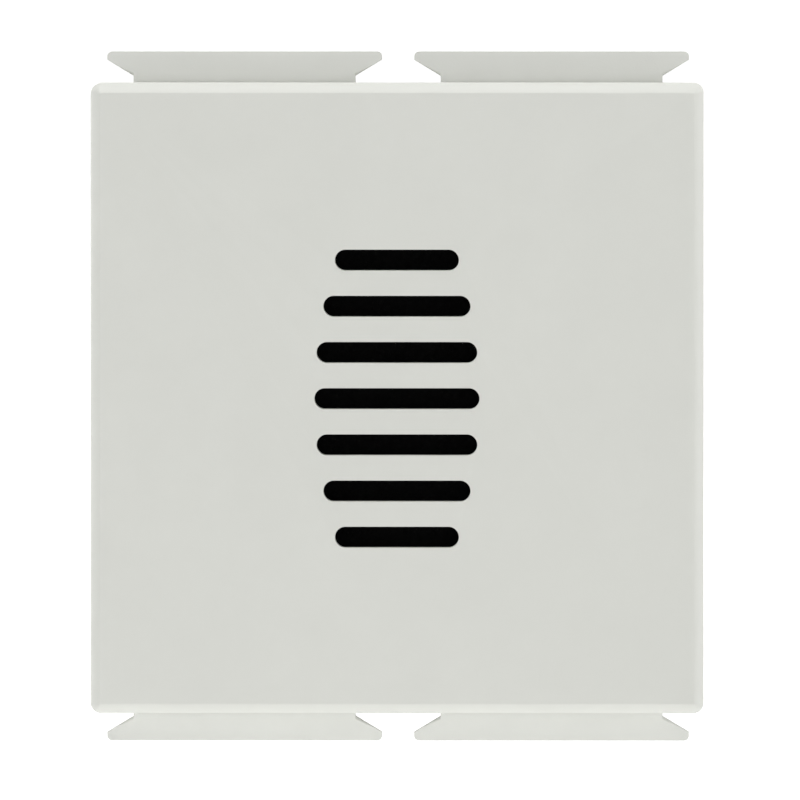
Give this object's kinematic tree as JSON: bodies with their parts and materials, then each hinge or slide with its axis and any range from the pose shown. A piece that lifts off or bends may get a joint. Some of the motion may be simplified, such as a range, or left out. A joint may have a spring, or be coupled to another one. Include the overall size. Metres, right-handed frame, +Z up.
{
  "type": "modular chime insert",
  "caption": "Snap-in chime insert for a modular wall frame: flat square face with a barrel of sound slots, dovetail ears, gong and hammer inside, screw terminals behind.",
  "frame": {"origin": "centre of the seat plane, where the rear faces of the four ears meet the mounting frame", "axes": "+Z up, +Y to the rear (into the wall), +X to the right as seen from the front"},
  "size_m": [0.0438, 0.0335, 0.0494],
  "materials": {
    "cover_plastic": "fine matte",
    "carrier_plastic": "fine matte",
    "housing_plastic": "spark-eroded matte",
    "black_felt": "felt",
    "zinc_steel": "zinc plated",
    "gong_steel": "nickel plated",
    "core_iron": "blued laminations",
    "terminal_brass": "satin",
    "bobbin_nylon": "natural nylon",
    "winding_copper": "enamelled copper",
    "coil_tape_film": "film tape",
    "black_rubber": "matte",
    "lead_insulation": "soft sleeve"
  },
  "bodies": {
    "case": {"front_cover": "cover_plastic", "carrier": "carrier_plastic", "dust_felt": "black_felt", "rear_housing": "housing_plastic", "housing_screws": "zinc_steel", "chassis_plate": "zinc_steel", "gong": "gong_steel", "gong_post": "terminal_brass", "gong_grommet": "black_rubber", "gong_washer": "zinc_steel", "gong_screw": "zinc_steel", "core_laminations": "core_iron", "core_spacers": "terminal_brass", "core_screws": "zinc_steel", "bobbin": "bobbin_nylon", "coil_winding": "winding_copper", "coil_tape": "coil_tape_film", "coil_lead_left": "lead_insulation", "coil_lead_right": "lead_insulation", "pivot_pin": "zinc_steel", "pivot_clip": "zinc_steel", "stop_pad": "black_rubber", "return_spring": "zinc_steel", "terminal_plate_left": "terminal_brass", "terminal_plate_right": "terminal_brass"},
    "hammer": {"armature": "core_iron", "hammer_arm": "zinc_steel", "striker": "terminal_brass"},
    "left_washer": {"terminal_washer_left": "zinc_steel"},
    "right_washer": {"terminal_washer_right": "zinc_steel"},
    "left_screw": {"terminal_screw_left": "zinc_steel"},
    "right_screw": {"terminal_screw_right": "zinc_steel"}
  },
  "joints": [
    {"name": "hammer_swing", "type": "hinge", "parent": "case", "child": "hammer", "pos_m": [0.0103, 0.015, 0.017], "axis": [0, 1, 0], "range_deg": [0, 3], "stiffness_Nm_per_rad": 0.005, "springref_deg": -11.46, "deforming": ["return_spring"]},
    {"name": "left_washer_slide", "type": "slide", "parent": "case", "child": "left_washer", "axis": [0, 1, 0], "range_m": [0, 0.0025]},
    {"name": "left_screw_turn", "type": "hinge", "parent": "left_washer", "child": "left_screw", "pos_m": [-0.008, 0.0165, -0.01405], "axis": [0, 1, 0], "range_deg": [0, 1800.1]},
    {"name": "right_washer_slide", "type": "slide", "parent": "case", "child": "right_washer", "axis": [0, 1, 0], "range_m": [0, 0.0025]},
    {"name": "right_screw_turn", "type": "hinge", "parent": "right_washer", "child": "right_screw", "pos_m": [0.008, 0.0165, -0.01405], "axis": [0, 1, 0], "range_deg": [0, 1800.1]}
  ],
  "couplings": [
    {"joint": "left_screw_turn", "follows": "left_washer_slide", "rad_per_m": 12566},
    {"joint": "right_screw_turn", "follows": "right_washer_slide", "rad_per_m": 12566}
  ]
}
